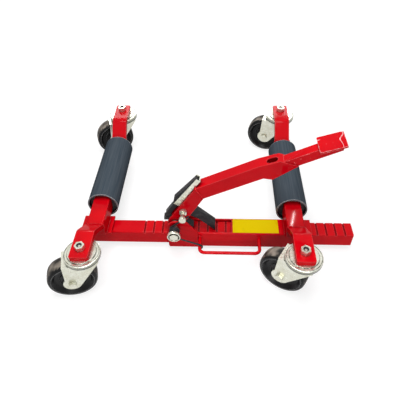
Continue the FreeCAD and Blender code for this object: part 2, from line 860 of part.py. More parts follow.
def make_foot_pad():
    turn = math.radians(pad_angle)
    return rounded(pad_block(pad_thickness, pad_width), pad_corner, V(-math.sin(turn), 0, math.cos(turn)))


# Pawls and the pawl bolt

def make_pawl_bolt():
    reach = pedal_front - pawl_bolt_reach
    bolt = across(pawl_bolt_diameter, pawl_bolt, reach, pedal_back + pawl_bolt_nut)
    bolt = bolt.fuse(across(pawl_bolt_head_diameter, pawl_bolt, reach - pawl_bolt_head, reach)).removeSplitter()
    hole = across(pawl_bolt_diameter + 2 * running_fit, pawl_bolt, reach, pedal_back + pawl_bolt_nut + overrun)
    nuts = [hexagon(pawl_bolt_flats, at_y(pawl_bolt, a), at_y(pawl_bolt, b)).cut(hole)
            for a, b in ((pedal_front - pawl_bolt_nut, pedal_front), (pedal_back, pedal_back + pawl_bolt_nut))]
    return [bolt] + nuts


release_front = leg_half_depth + channel_sheet + release_gap
tip_height = bar_top + pawl_lift
drive_tip = (pivot_x + pawl_tip_reach, tip_height)


def on_pawl(along, up):
    """Point (x, z) of the pedal's side view, along the drive pawl from its bolt and above it."""
    turn = math.radians(pawl_slope)
    return (pawl_bolt[0] + along * math.cos(turn) + up * math.sin(turn),
            pawl_bolt[1] - along * math.sin(turn) + up * math.cos(turn))


def pawl_frame(point):
    """Places along and above the drive pawl of a point (x, z)."""
    turn = math.radians(pawl_slope)
    dx, dz = point[0] - pawl_bolt[0], point[1] - pawl_bolt[1]
    return dx * math.cos(turn) - dz * math.sin(turn), dx * math.sin(turn) + dz * math.cos(turn)


def make_drive_pawl():
    tip_along, tip_up = pawl_frame(drive_tip)
    top = tip_up + pawl_thickness
    outline = [on_pawl(0, -pawl_hub_radius), on_pawl(pawl_neck, tip_up), drive_tip,
               on_pawl(tip_along - pawl_thickness, top), on_pawl(pawl_heel, top), on_pawl(0, pawl_hub_radius)]
    y0, y1 = -bar_offset - pawl_width / 2, -bar_offset + pawl_width / 2
    pawl = plate_along_y(outline, y0, y1).fuse(across(2 * pawl_hub_radius, pawl_bolt, y0, y1)).removeSplitter()
    return pawl.cut(across(pawl_bolt_diameter + 2 * running_fit, pawl_bolt, y0 - overrun, y1 + overrun))


def make_holding_pawl():
    tip = (pivot_x + hold_tip_along, tip_height)
    fall = math.atan2(pivot_z - tip[1], tip[0] - pivot_x)
    shoulder = (tip[0] + hold_thickness * math.sin(fall) / 2, tip[1] + hold_thickness * math.cos(fall))
    dx, dz = hold_hub_radius * math.sin(fall), hold_hub_radius * math.cos(fall)
    outline = [(pivot_x - dx, pivot_z - dz), tip, shoulder, (pivot_x + dx, pivot_z + dz)]
    top = on_leg(release_tip_along, release_front)[1] - hold_heel_gap
    heel = [(pivot_x - hold_heel_along, top), (pivot_x, top), (pivot_x, top - hold_heel_thickness),
            (pivot_x - hold_heel_along, top - hold_heel_thickness)]
    y0, y1 = -bar_offset - pawl_width / 2, -bar_offset + pawl_width / 2
    pawl = plate_along_y(outline, y0, y1).fuse(across(2 * hold_hub_radius, pivot, y0, y1))
    pawl = pawl.fuse(plate_along_y(heel, y0 + channel_sheet, y1 - channel_sheet)).removeSplitter()
    return pawl.cut(across(pivot_diameter + 2 * running_fit, pivot, y0 - overrun, y1 + overrun))


# Release bar in its channel on the back of the leg

release_pin = on_leg(release_pin_along, release_pin_back)


def make_release_channel():
    half = channel_width / 2
    floor = leg_half_depth
    outline = [on_leg(channel_start, floor), on_leg(channel_end, floor),
               on_leg(channel_end, floor + channel_end_depth), on_leg(channel_start, floor + channel_depth)]
    channel = plate_along_y(outline, -bar_offset - half, -bar_offset + half)
    start, end = channel_start - overrun, channel_end + overrun
    bed, rim = floor + channel_sheet, floor + channel_depth + overrun
    hollow = [on_leg(start, bed), on_leg(end, bed), on_leg(end, rim), on_leg(start, rim)]
    inner = half - channel_sheet
    channel = channel.cut(plate_along_y(hollow, -bar_offset - inner, -bar_offset + inner))
    return channel.cut(across(release_pin_diameter + 2 * running_fit, release_pin,
                              -bar_offset - half - overrun, -bar_offset + half + overrun))


def make_release_pin():
    half = channel_width / 2
    pin = across(release_pin_diameter, release_pin, -bar_offset - half - release_pin_head,
                 -bar_offset + half + release_pin_head)
    for y0, y1 in ((-half - release_pin_head, -half), (half, half + release_pin_head)):
        pin = pin.fuse(across(release_pin_head_diameter, release_pin, -bar_offset + y0, -bar_offset + y1))
    return pin.removeSplitter()


def make_release_bar():
    outline = [on_leg(release_top, release_front), on_leg(release_top, release_top_back),
               on_leg(release_tab, release_tab_back), on_leg(release_step, release_tail_back),
               on_leg(release_tail_end, release_tail_back),
               on_leg(release_tip_along, release_front + release_tip_width),
               on_leg(release_tip_along, release_front)]
    half = release_width / 2
    bar = plate_along_y(outline, -bar_offset - half, -bar_offset + half)
    play = release_pin_diameter / 2 + running_fit
    end = release_pin_along + release_travel + running_fit
    slot = [on_leg(release_pin_along, release_pin_back - play), on_leg(end, release_pin_back - play),
            on_leg(end, release_pin_back + play), on_leg(release_pin_along, release_pin_back + play)]
    bar = bar.cut(plate_along_y(slot, -bar_offset - half - overrun, -bar_offset + half + overrun))
    for along in (release_pin_along, end):
        bar = bar.cut(across(2 * play, on_leg(along, release_pin_back), -bar_offset - half - overrun,
                             -bar_offset + half + overrun))
    return bar


# Write every piece

def save(node, shapes):
    solids = shapes if isinstance(shapes, list) else [shapes]
    solids = [solid for shape in solids for solid in shape.Solids]
    for solid in solids:
        if not solid.isValid() or solid.Volume <= 0:
            raise ValueError(node + " is not a sound solid")
    shape = solids[0] if len(solids) == 1 else Part.makeCompound(solids)
    shape.exportStep("parts/" + node + ".step")


def main():
    os.makedirs("parts", exist_ok=True)
    save("ratchet_bar", make_ratchet_bar())
    save("saddle_plate", make_saddle_plate())
    save("sleeve_tube", make_sleeve_tube())
    save("yellow_plate", make_yellow_plate())
    for side in ("left", "right"):
        save(side + "_arm", make_arm(side))
        save(side + "_arm_caps", make_arm_caps(side))
        save(side + "_roller_bushes", make_roller_bushes(side))
        save(side + "_roller", make_roller(side))
        for end in ("front", "rear"):
            name = end + "_" + side
            save(name + "_bracket", make_bracket(side, end))
            for piece, make in (("race", make_race), ("balls", make_balls), ("fork", make_fork),
                                ("king_bolt", make_king_set), ("axle", make_axle_set), ("wheel", make_wheel)):
                shapes = make()
                shapes = shapes if isinstance(shapes, list) else [shapes]
                save(name + "_caster_" + piece, place_caster(shapes, end, side))
    save("front_cheek", make_cheek(cheek_front, sleeve_front))
    save("rear_cheek", make_cheek(sleeve_back, cheek_back))
    save("pivot_bolt", make_pivot_bolt())
    save("pivot_nut_and_washer", make_pivot_nut_and_washer())
    save("pivot_spacers", make_pivot_spacers())
    save("return_spring", make_return_spring())
    save("carry_handle", make_carry_handle())
    save("pedal_leg", make_pedal_leg())
    save("pedal_arm", make_pedal_arm())
    save("pedal_extension", make_pedal_extension())
    save("foot_pad", make_foot_pad())
    save("pawl_bolt", make_pawl_bolt())
    save("drive_pawl", make_drive_pawl())
    save("holding_pawl", make_holding_pawl())
    save("release_channel", make_release_channel())
    save("release_pin", make_release_pin())
    save("release_bar", make_release_bar())


main()
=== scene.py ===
import json
import math

import bmesh
import bpy
from bpy.props import FloatProperty, FloatVectorProperty, IntProperty, PointerProperty
from bpy.types import Operator, Panel, PropertyGroup
from mathutils import Matrix, Vector, noise


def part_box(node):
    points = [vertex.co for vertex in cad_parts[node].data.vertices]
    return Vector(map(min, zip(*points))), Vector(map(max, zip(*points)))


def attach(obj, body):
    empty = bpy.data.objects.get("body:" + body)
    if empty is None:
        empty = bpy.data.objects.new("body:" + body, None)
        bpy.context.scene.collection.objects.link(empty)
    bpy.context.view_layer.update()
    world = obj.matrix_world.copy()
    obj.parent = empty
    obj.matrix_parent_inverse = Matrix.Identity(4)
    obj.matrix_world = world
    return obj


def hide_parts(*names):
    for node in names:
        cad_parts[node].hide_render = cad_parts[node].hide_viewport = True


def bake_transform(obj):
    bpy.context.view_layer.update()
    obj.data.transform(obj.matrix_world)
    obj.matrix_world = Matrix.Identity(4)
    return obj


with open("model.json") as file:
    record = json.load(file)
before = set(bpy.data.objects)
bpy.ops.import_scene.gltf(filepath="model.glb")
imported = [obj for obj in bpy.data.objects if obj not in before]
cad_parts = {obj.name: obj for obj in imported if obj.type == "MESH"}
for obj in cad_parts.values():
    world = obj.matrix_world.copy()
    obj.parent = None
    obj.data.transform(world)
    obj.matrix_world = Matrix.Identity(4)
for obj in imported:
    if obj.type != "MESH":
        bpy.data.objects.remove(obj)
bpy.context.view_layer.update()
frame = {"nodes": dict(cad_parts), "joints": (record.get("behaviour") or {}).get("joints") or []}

bl_info = {
    "name": "Vehicle positioning jack",
    "version": (1, 0, 0),
    "blender": (4, 5, 0),
    "location": "View3D > Sidebar > Jack",
    "description": "Paint, plating, welds, wheels and spring of a wheel dolly with a ratchet pedal",
    "category": "Object",
}

CORNERS = ("front_left", "front_right", "rear_left", "rear_right")
SIDES = ("left", "right")
SAME_PLACE_DIGITS = 5


# Places and sizes read from the frame

def joint(name):
    """Record of a joint."""
    for entry in frame["joints"]:
        if entry["name"] == name:
            return entry
    raise ValueError("the frame has no joint named " + name)


def joint_place(name):
    """Rest place of a joint in metres."""
    return Vector(joint(name)["pos_m"])


def box_size(node):
    """Size of a node's box in metres."""
    low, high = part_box(node)
    return high - low


def box_middle(node):
    """Middle of a node's box in metres."""
    low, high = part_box(node)
    return (low + high) / 2


def place_key(place):
    """Key of a place, the same for places closer than about a hundredth of a millimetre."""
    return tuple(round(c, SAME_PLACE_DIGITS) for c in place)


def shared_corners(first, second):
    """Corners that two nodes have in common, in metres."""
    seen = {place_key(v.co) for v in frame["nodes"][first].data.vertices}
    return [v.co.copy() for v in frame["nodes"][second].data.vertices if place_key(v.co) in seen]


def nodes_named(*endings):
    """Nodes of the frame whose names end with one of the endings."""
    return [node for node in frame["nodes"] if node.endswith(endings)]


PIVOT = joint_place("pedal_press")
PAWL_BOLT = joint_place("drive_pawl_swing")


# User settings

class JackFinish(PropertyGroup):
    """Colours and surface detail of the jack."""
    red: FloatVectorProperty(
        name="Red paint", description="Gloss paint of the frame and pedal", subtype="COLOR",
        size=3, min=0, max=1, default=(0.70, 0.002, 0.007))
    # painted shade: the colour the red paint darkens to in corners and gaps
    red_painted_shade: FloatVectorProperty(
        name="Red paint, painted shade", description="Painted shade of the paint in corners and gaps", subtype="COLOR",
        size=3, min=0, max=1, default=(0.22, 0.001, 0.004))
    red_deep: FloatVectorProperty(
        name="Red paint, thick", description="Paint where it has run together", subtype="COLOR",
        size=3, min=0, max=1, default=(0.56, 0.001, 0.007))
    zinc: FloatVectorProperty(
        name="Zinc", description="Plating of the casters and bolts", subtype="COLOR",
        size=3, min=0, max=1, default=(0.72, 0.73, 0.64))
    # painted shade: the colour the zinc darkens to in corners, gaps and on the races
    zinc_painted_shade: FloatVectorProperty(
        name="Zinc, painted shade", description="Painted shade of the plating in corners, gaps and on the races", subtype="COLOR",
        size=3, min=0, max=1, default=(0.06, 0.065, 0.05))
    zinc_tint: FloatVectorProperty(
        name="Zinc tint", description="Yellowish passivation of the plating", subtype="COLOR",
        size=3, min=0, max=1, default=(0.60, 0.59, 0.48))
    black: FloatVectorProperty(
        name="Black steel", description="Pawls and release bar", subtype="COLOR",
        size=3, min=0, max=1, default=(0.018, 0.018, 0.02))
    roller: FloatVectorProperty(
        name="Roller", description="Plastic of the rollers", subtype="COLOR",
        size=3, min=0, max=1, default=(0.053, 0.071, 0.090))
    wheel: FloatVectorProperty(
        name="Wheel", description="Plastic of the caster wheels", subtype="COLOR",
        size=3, min=0, max=1, default=(0.006, 0.006, 0.0065))
    tread: FloatVectorProperty(
        name="Worn tread", description="Dust and wear on the treads", subtype="COLOR",
        size=3, min=0, max=1, default=(0.36, 0.31, 0.26))
    yellow: FloatVectorProperty(
        name="Yellow plate", description="Blank plate on the sleeve", subtype="COLOR",
        size=3, min=0, max=1, default=(0.82, 0.61, 0.001))
    edge_round: FloatProperty(
        name="Edge round", description="Rounding of the sheet and tube edges", unit="LENGTH",
        min=0, default=0.0007)
    ridge_round: FloatProperty(
        name="Ridge round", description="Rounding of the pedal's pressed edges", unit="LENGTH",
        min=0, default=0.0022)
    bead_radius: FloatProperty(
        name="Weld bead", description="Radius of the weld beads", unit="LENGTH", min=0, default=0.0022)
    bead_ripple: FloatProperty(
        name="Weld ripple", description="Distance between the ripples of a bead", unit="LENGTH",
        min=0.0005, default=0.0026)


class JackSpring(PropertyGroup):
    """Sizes of the return spring."""
    wire: FloatProperty(
        name="Wire", description="Diameter of the spring wire", unit="LENGTH", min=0, default=0.004)
    radius: FloatProperty(
        name="Coil radius", description="Radius of the coil at the wire's middle", unit="LENGTH",
        min=0, default=0.0105)
    pitch: FloatProperty(
        name="Pitch", description="Step from one turn to the next", unit="LENGTH", min=0, default=0.0045)
    turns: IntProperty(
        name="Whole turns", description="Full turns of the coil between its legs", min=1, default=3)
    gap: FloatProperty(
        name="Gap", description="Clearance to the bolt and the handle", unit="LENGTH", min=0, default=0.0003)
    leg_beyond: FloatProperty(
        name="Leg overhang", description="Length of the leg beyond the bolt", unit="LENGTH",
        min=0, default=0.012)
    hook_turn: FloatProperty(
        name="Hook", description="Turn of the hook round the handle", subtype="ANGLE",
        min=0, default=math.radians(150))


class JackStage(PropertyGroup):
    """Camera, lamps and floor."""
    camera_place: FloatVectorProperty(
        name="Camera place", description="Place of the camera", subtype="TRANSLATION", size=3,
        default=(0.0530, -0.8086, 0.8215))
    camera_pitch: FloatProperty(
        name="Camera pitch", description="Angle below the horizon", subtype="ANGLE",
        default=math.radians(45.5))
    camera_yaw: FloatProperty(
        name="Camera yaw", description="Turn to the right", subtype="ANGLE", default=math.radians(-3.5))
    camera_roll: FloatProperty(
        name="Camera roll", description="Turn about the line of sight", subtype="ANGLE",
        default=math.radians(-1.8))
    lens: FloatProperty(
        name="Lens", description="Focal length for a 36 mm frame, in millimetres", min=1, default=36.76)
    floor: FloatVectorProperty(
        name="Floor", description="Colour of the floor", subtype="COLOR", size=3, min=0, max=1,
        default=(0.36, 0.36, 0.36))
    sky: FloatProperty(name="Sky", description="Strength of the light from all round", min=0, default=0.06)
    key: FloatProperty(
        name="Key lamp", description="Power of the large top lamp", unit="POWER", min=0, default=21)
    fill: FloatProperty(
        name="Fill lamp", description="Power of the front lamp", unit="POWER", min=0, default=17)
    rim: FloatProperty(
        name="Rim lamp", description="Power of the back lamp", unit="POWER", min=0, default=7.5)
    glint: FloatProperty(
        name="Glint lamp", description="Power of the narrow front lamp that draws highlights", unit="POWER",
        min=0, default=5)
    spark: FloatProperty(
        name="Spark lamp", description="Power of the small lamp that draws one sharp highlight", unit="POWER",
        min=0, default=0.3)


# Finishes

class Finish:
    """A procedural surface: one shader fed by textures that stick to the piece."""

    def __init__(self, name):
        self.material = bpy.data.materials.new(name)
        self.material.use_nodes = True
        self.tree = self.material.node_tree
        self.shader = self.tree.nodes["Principled BSDF"]
        self.place = self.add("ShaderNodeTexCoord").outputs["Object"]
        self.last_bump = None

    def add(self, kind, **settings):
        made = self.tree.nodes.new(kind)
        for key, value in settings.items():
            setattr(made, key, value)
        return made

    def link(self, source, target):
        self.tree.links.new(source, target)

    def fix(self, **sockets):
        """Set constant shader sockets, named with underscores for spaces."""
        for name, value in sockets.items():
            self.shader.inputs[name.replace("_", " ")].default_value = value

    def noise(self, scale, detail=3.0, stretch=(1, 1, 1)):
        """Noise value; scale counts features per metre."""
        mapping = self.add("ShaderNodeMapping")
        mapping.inputs["Scale"].default_value = stretch
        self.link(self.place, mapping.inputs["Vector"])
        texture = self.add("ShaderNodeTexNoise")
        texture.inputs["Scale"].default_value = scale
        texture.inputs["Detail"].default_value = detail
        self.link(mapping.outputs["Vector"], texture.inputs["Vector"])
        return texture.outputs["Fac"]

    def crevice(self, reach, low=0.35, high=0.85):
        """Mask for painted shade, from ambient occlusion: one in corners and narrow gaps, zero on open faces;
        reach in metres.
        """
        shade = self.add("ShaderNodeAmbientOcclusion", samples=16)
        shade.inputs["Distance"].default_value = reach
        return self.spread(shade.outputs["AO"], low, high, 1.0, 0.0)

    def edge(self, radius, low=0.8, high=0.97):
        """One on edges and zero on open faces; radius in metres."""
        rounded = self.add("ShaderNodeBevel", samples=6)
        rounded.inputs["Radius"].default_value = radius
        facing = self.add("ShaderNodeNewGeometry")
        same = self.add("ShaderNodeVectorMath", operation="DOT_PRODUCT")
        self.link(rounded.outputs["Normal"], same.inputs[0])
        self.link(facing.outputs["Normal"], same.inputs[1])
        return self.spread(same.outputs["Value"], low, high, 1.0, 0.0)

    def from_axis(self, place):
        """Distance from an upright axis through a place, and height above it."""
        shift = self.add("ShaderNodeVectorMath", operation="SUBTRACT")
        shift.inputs[1].default_value = place
        self.link(self.place, shift.inputs[0])
        flat = self.add("ShaderNodeVectorMath", operation="MULTIPLY")
        flat.inputs[1].default_value = (1, 1, 0)
        self.link(shift.outputs["Vector"], flat.inputs[0])
        far = self.add("ShaderNodeVectorMath", operation="LENGTH")
        self.link(flat.outputs["Vector"], far.inputs[0])
        parts = self.add("ShaderNodeSeparateXYZ")
        self.link(shift.outputs["Vector"], parts.inputs["Vector"])
        return far.outputs["Value"], parts.outputs["Z"]

    def band(self, value, middle, half):
        """One where a value is near the middle, falling to zero at half a width from it."""
        off = self.add("ShaderNodeMath", operation="SUBTRACT")
        off.inputs[1].default_value = middle
        self.link(value, off.inputs[0])
        size = self.add("ShaderNodeMath", operation="ABSOLUTE")
        self.link(off.outputs["Value"], size.inputs[0])
        return self.spread(size.outputs["Value"], half / 2, half, 1.0, 0.0)

    def attribute(self, name):
        """Value stored on the points of a piece."""
        return self.add("ShaderNodeAttribute", attribute_name=name).outputs["Fac"]

    def spread(self, value, low, high, to_low=0.0, to_high=1.0):
        """Stretch a value from one range to another, clamped."""
        made = self.add("ShaderNodeMapRange", clamp=True)
        for socket, number in zip(("From Min", "From Max", "To Min", "To Max"), (low, high, to_low, to_high)):
            made.inputs[socket].default_value = number
        self.link(value, made.inputs["Value"])
        return made.outputs["Result"]

    def times(self, a, b):
        """Product of two values."""
        made = self.add("ShaderNodeMath", operation="MULTIPLY")
        self.link(a, made.inputs[0])
        self.link(b, made.inputs[1])
        return made.outputs["Value"]

    def blend(self, share, below, above):
        """Colour between two colours; each is a colour or another colour output."""
        made = self.add("ShaderNodeMix", data_type="RGBA")
        self.link(share, made.inputs["Factor"])
        for socket, colour in ((made.inputs[6], below), (made.inputs[7], above)):
            if isinstance(colour, bpy.types.NodeSocket):
                self.link(colour, socket)
            else:
                socket.default_value = (*colour[:3], 1)
        return made.outputs[2]

    def colour(self, output):
        self.link(output, self.shader.inputs["Base Color"])

    def roughness(self, output):
        self.link(output, self.shader.inputs["Roughness"])

    def bump(self, height, depth, strength=1.0):
        """Add relief of a depth in metres."""
        made = self.add("ShaderNodeBump")
        made.inputs["Strength"].default_value = strength
        made.inputs["Distance"].default_value = depth
        self.link(height, made.inputs["Height"])
        if self.last_bump:
            self.link(self.last_bump, made.inputs["Normal"])
        self.last_bump = made.outputs["Normal"]
        self.link(self.last_bump, self.shader.inputs["Normal"])


def lighter(colour, share):
    """Colour moved towards white by a share."""
    return tuple(c + (1 - c) * share for c in colour)


def gloss_red(look, name="gloss_red", wear=0.0, scratched=False):
    """Sprayed gloss paint with slight runs, a painted highlight along its edges and painted shade in its
    corners; wear adds scuffs, chipped edges and a stronger painted edge highlight, scratched adds long lines.
    """
    paint = Finish(name)
    runs = paint.spread(paint.noise(14, 4), 0.3, 0.72)
    colour = paint.blend(runs, look.red_deep, look.red)
    # painted highlight: the red is lighter along every edge
    colour = paint.blend(paint.edge(0.002), colour, lighter(look.red, 0.09))
    if wear:
        scratch = paint.spread(paint.noise(160, 6, (1, 0.25, 1)), 0.66 - wear, 0.74 - wear)
        patch = paint.spread(paint.noise(55, 3), 0.5, 0.64)
        colour = paint.blend(paint.times(scratch, patch), colour, lighter(look.red, 0.25))
        # painted highlight: a stronger pale line along the edges
        colour = paint.blend(paint.edge(0.002, 0.85, 0.98), colour, lighter(look.red, 0.2))
        chips = paint.times(paint.edge(0.003, 0.7, 0.95), paint.spread(paint.noise(90, 4), 0.5, 0.6))
        colour = paint.blend(chips, colour, lighter(look.red, 0.6))
    if scratched:
        lines = paint.band(paint.noise(24, 1, (1, 0.6, 1)), 0.5, 0.009)
        broken = paint.spread(paint.noise(46, 1), 0.47, 0.55)
        colour = paint.blend(paint.times(lines, broken), colour, lighter(look.red, 0.5))
    # painted shade: the red darkens in corners and gaps, from ambient occlusion
    paint.colour(paint.blend(paint.crevice(0.012), colour, look.red_painted_shade))
    paint.roughness(paint.spread(paint.noise(70, 4), 0.25, 0.75, 0.16, 0.34))
    paint.bump(paint.noise(300, 2), 0.00012, 0.15)
    paint.bump(paint.noise(40, 2), 0.0006, 0.25)
    paint.fix(Specular_IOR_Level=0.0, Coat_Weight=0.18, Coat_Roughness=0.05)
    return paint.material


def zinc_clouds(plate, look):
    """Colour of bright zinc with a cloudy yellow passivation."""
    clouds = plate.spread(plate.noise(60, 5), 0.35, 0.68)
    return plate.blend(clouds, look.zinc, look.zinc_tint)


def zinc_plate(look, name="zinc_plate", shine=0.22):
    """Zinc of the sheet and bolts, with painted shade in its corners; shine is its least roughness."""
    plate = Finish(name)
    colour = zinc_clouds(plate, look)
    # painted shade: the zinc darkens in corners, from ambient occlusion
    plate.colour(plate.blend(plate.crevice(0.005, 0.3, 0.7), colour, look.zinc_painted_shade))
    plate.roughness(plate.spread(plate.noise(130, 4), 0.3, 0.7, shine, shine + 0.16))
    plate.bump(plate.noise(500, 2), 0.00005, 0.15)
    plate.fix(Metallic=0.85)
    return plate.material


# painted shade on the races: half width of the dark rings, then where the dark outline at the rim starts and
# ends, and how dark it is
RING_HALF_WIDTH = 0.0011
RIM_SHADE_START = 0.0006
RIM_SHADE_END = 0.0001
RIM_SHADE = 0.6


def zinc_race(look, name, place, rings, rim, lip):
    """Zinc of a pressed race round an axis, with painted shade in its rings, a painted dark outline at its
    rim and a painted shadow under its lip.
    """
    plate = Finish(name)
    colour = zinc_clouds(plate, look)
    far, height = plate.from_axis(place)
    # noise that breaks up the painted shade in the rings
    broken_shade = plate.spread(plate.noise(120, 3), 0.3, 0.6, 0.35, 1.0)
    for ring in rings:
        line = plate.band(far, ring, RING_HALF_WIDTH)
        colour = plate.blend(plate.times(line, broken_shade), colour, look.zinc_painted_shade)
    # painted shade: a dark outline at the race's rim
    outer = plate.spread(far, rim - RIM_SHADE_START, rim - RIM_SHADE_END, 0.0, RIM_SHADE)
    colour = plate.blend(outer, colour, look.zinc_painted_shade)
    # painted shadow: a dark band under the race's lip
    colour = plate.blend(plate.spread(height, lip / 2, lip, 1.0, 0.0), colour, look.zinc_painted_shade)
    plate.colour(colour)
    plate.roughness(plate.spread(plate.noise(130, 4), 0.3, 0.7, 0.2, 0.34))
    plate.fix(Metallic=0.85)
    return plate.material


def black_steel(look):
    """Blackened steel with rubbed patches."""
    steel = Finish("black_steel")
    rubbed = steel.spread(steel.noise(90, 5), 0.5, 0.75)
    steel.colour(steel.blend(rubbed, look.black, lighter(look.black, 0.03)))
    steel.roughness(steel.spread(steel.noise(200, 3), 0.3, 0.7, 0.32, 0.5))
    steel.bump(steel.noise(600, 3), 0.0001, 0.4)
    steel.fix(Metallic=0.1, Specular_IOR_Level=0.2)
    return steel.material


def roller_plastic(look):
    """Matt slate plastic tube with draw lines along its length, painted shade in its bore and a painted
    highlight on its rims.
    """
    plastic = Finish("roller_plastic")
    streaks = plastic.spread(plastic.noise(300, 4, (1, 0.03, 1)), 0.35, 0.7)
    colour = plastic.blend(streaks, look.roller, lighter(look.roller, 0.03))
    # painted shade: the bore and hidden parts go black, from ambient occlusion
    colour = plastic.blend(plastic.crevice(0.06, 0.45, 0.8), colour, look.black)
    # painted highlight: a pale line on the rims
    plastic.colour(plastic.blend(plastic.edge(0.003, 0.75, 0.95), colour, lighter(look.roller, 0.6)))
    plastic.roughness(plastic.spread(plastic.noise(240, 4, (1, 0.06, 1)), 0.3, 0.7, 0.42, 0.52))
    plastic.bump(plastic.noise(500, 3, (1, 0.05, 1)), 0.00012, 0.4)
    plastic.fix(Specular_IOR_Level=0.0, Coat_Weight=0.008, Coat_Roughness=0.3)
    return plastic.material


def wheel_plastic(look):
    """Moulded black wheel with a dusty, worn tread and a painted highlight on its edges."""
    plastic = Finish("wheel_plastic")
    dust = plastic.spread(plastic.noise(38, 5), 0.42, 0.68, 0.05, 1.0)
    worn = plastic.times(plastic.attribute("tread"), dust)
    colour = plastic.blend(worn, look.wheel, look.tread)
    # painted highlight: lighter lines along the wheel's edges
    plastic.colour(plastic.blend(plastic.edge(0.0022, 0.8, 0.98), colour, lighter(look.wheel, 0.22)))
    plastic.roughness(plastic.spread(plastic.attribute("tread"), 0, 1, 0.27, 0.6))
    plastic.bump(plastic.noise(700, 3), 0.00012, 0.3)
    plastic.fix(Specular_IOR_Level=0.15)
    return plastic.material


def nylon(look):
    """Dark moulded nylon of the roller bushes."""
    plastic = Finish("nylon")
    flow = plastic.spread(plastic.noise(120, 3), 0.35, 0.7)
    plastic.colour(plastic.blend(flow, look.black, lighter(look.black, 0.05)))
    plastic.roughness(plastic.spread(plastic.noise(300, 2), 0.3, 0.7, 0.45, 0.6))
    return plastic.material


def yellow_sheet(look):
    """Blank yellow sheet with faint handling marks."""
    sheet = Finish("yellow_sheet")
    marks = sheet.spread(sheet.noise(90, 5, (1, 0.4, 1)), 0.56, 0.8)
    sheet.colour(sheet.blend(marks, look.yellow, tuple(0.8 * c for c in look.yellow)))
    sheet.roughness(sheet.spread(sheet.noise(150, 4), 0.3, 0.7, 0.28, 0.42))
    sheet.bump(sheet.noise(35, 2), 0.0004, 0.2)
    sheet.fix(Specular_IOR_Level=0.03)
    return sheet.material


# Mesh helpers

def new_piece(name, mesh, material, body):
    """Link a mesh as a piece that rides on a body."""
    piece = bpy.data.objects.new(name, mesh)
    bpy.context.scene.collection.objects.link(piece)
    mesh.materials.append(material)
    mesh.shade_smooth()
    if body:
        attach(piece, body)
    return piece


def dress(nodes, material):
    """Give nodes of the frame a finish."""
    for node in nodes:
        mesh = frame["nodes"][node].data
        mesh.materials.clear()
        mesh.materials.append(material)


MERGE_DISTANCE = 1e-6
SOFTEN_ANGLE = math.radians(40)
SOFTEN_SEGMENTS = 2
RIDGE_ANGLE = math.radians(20)
RIDGE_SEGMENTS = 4


def add_rounding(piece, width, segments, limit):
    """Close a piece's mesh and round the edges that the limit picks."""
    weld = piece.modifiers.new("close", "WELD")
    weld.merge_threshold = MERGE_DISTANCE
    bevel = piece.modifiers.new("round", "BEVEL")
    bevel.width = width
    bevel.segments = segments
    bevel.limit_method = limit
    bevel.harden_normals = True
    return bevel


def soften(nodes, width):
    """Round the sharp edges of nodes."""
    for node in nodes:
        bevel = add_rounding(frame["nodes"][node], width, SOFTEN_SEGMENTS, "ANGLE")
        bevel.angle_limit = SOFTEN_ANGLE


def round_ridges(node, width, skip):
    """Round the sharp edges of a node, leaving out those between two of the points to skip."""
    piece = frame["nodes"][node]
    mesh = piece.data

    def key(index):
        return place_key(mesh.vertices[index].co)

    left_out = {place_key(point) for point in skip}
    normals = {}
    for face in mesh.polygons:
        for pair in face.edge_keys:
            normals.setdefault(frozenset(key(i) for i in pair), []).append(face.normal)
    weights = mesh.attributes.new("bevel_weight_edge", "FLOAT", "EDGE")
    for edge in mesh.edges:
        ends = frozenset(key(i) for i in edge.vertices)
        sides = normals[ends]
        sharp = len(sides) == 2 and sides[0].angle(sides[1], 0) > RIDGE_ANGLE
        weights.data[edge.index].value = float(sharp and not ends <= left_out)
    add_rounding(piece, width, RIDGE_SEGMENTS, "WEIGHT")


def sides_along(points):
    """Two side vectors at each point of a path, turned as little as possible."""
    pairs = []
    side = None
    for k in range(len(points)):
        ahead = points[min(k + 1, len(points) - 1)] - points[max(k - 1, 0)]
        ahead.normalize()
        if side is None:
            side = ahead.orthogonal()
        side = (side - ahead * side.dot(ahead)).normalized()
        pairs.append((side.copy(), ahead.cross(side)))
    return pairs


def swept_tube(name, points, radius_at, ring):
    """Mesh of a round tube along points, with flat ends; radius_at gives the radius at a point's index."""
    mesh = bpy.data.meshes.new(name)
    shape = bmesh.new()
    rings = []
    turns = [2 * math.pi * j / ring for j in range(ring)]
    for k, (point, (side, up)) in enumerate(zip(points, sides_along(points))):
        radius = radius_at(k)
        outs = [side * math.cos(a) + up * math.sin(a) for a in turns]
        rings.append([shape.verts.new(point + out * radius) for out in outs])
    for first, second in zip(rings, rings[1:]):
        for j in range(ring):
            shape.faces.new((first[j], first[(j + 1) % ring], second[(j + 1) % ring], second[j]))
    shape.faces.new(reversed(rings[0]))
    shape.faces.new(rings[-1])
    bmesh.ops.recalc_face_normals(shape, faces=shape.faces)
    shape.to_mesh(mesh)
    shape.free()
    return mesh


def resampled(corners, step):
    """Points along a polyline at about equal steps."""
    points = []
    for a, b in zip(corners, corners[1:]):
        count = max(1, round((b - a).length / step))
        points += [a.lerp(b, k / count) for k in range(count)]
    return points + [corners[-1]]


POINTS_PER_RIPPLE = 5
RIPPLE_SHARE = 0.16
UNEVEN_SHARE = 0.16
UNEVEN_PER_METRE = 300
END_SHARE = 0.15
BEAD_RING = 8


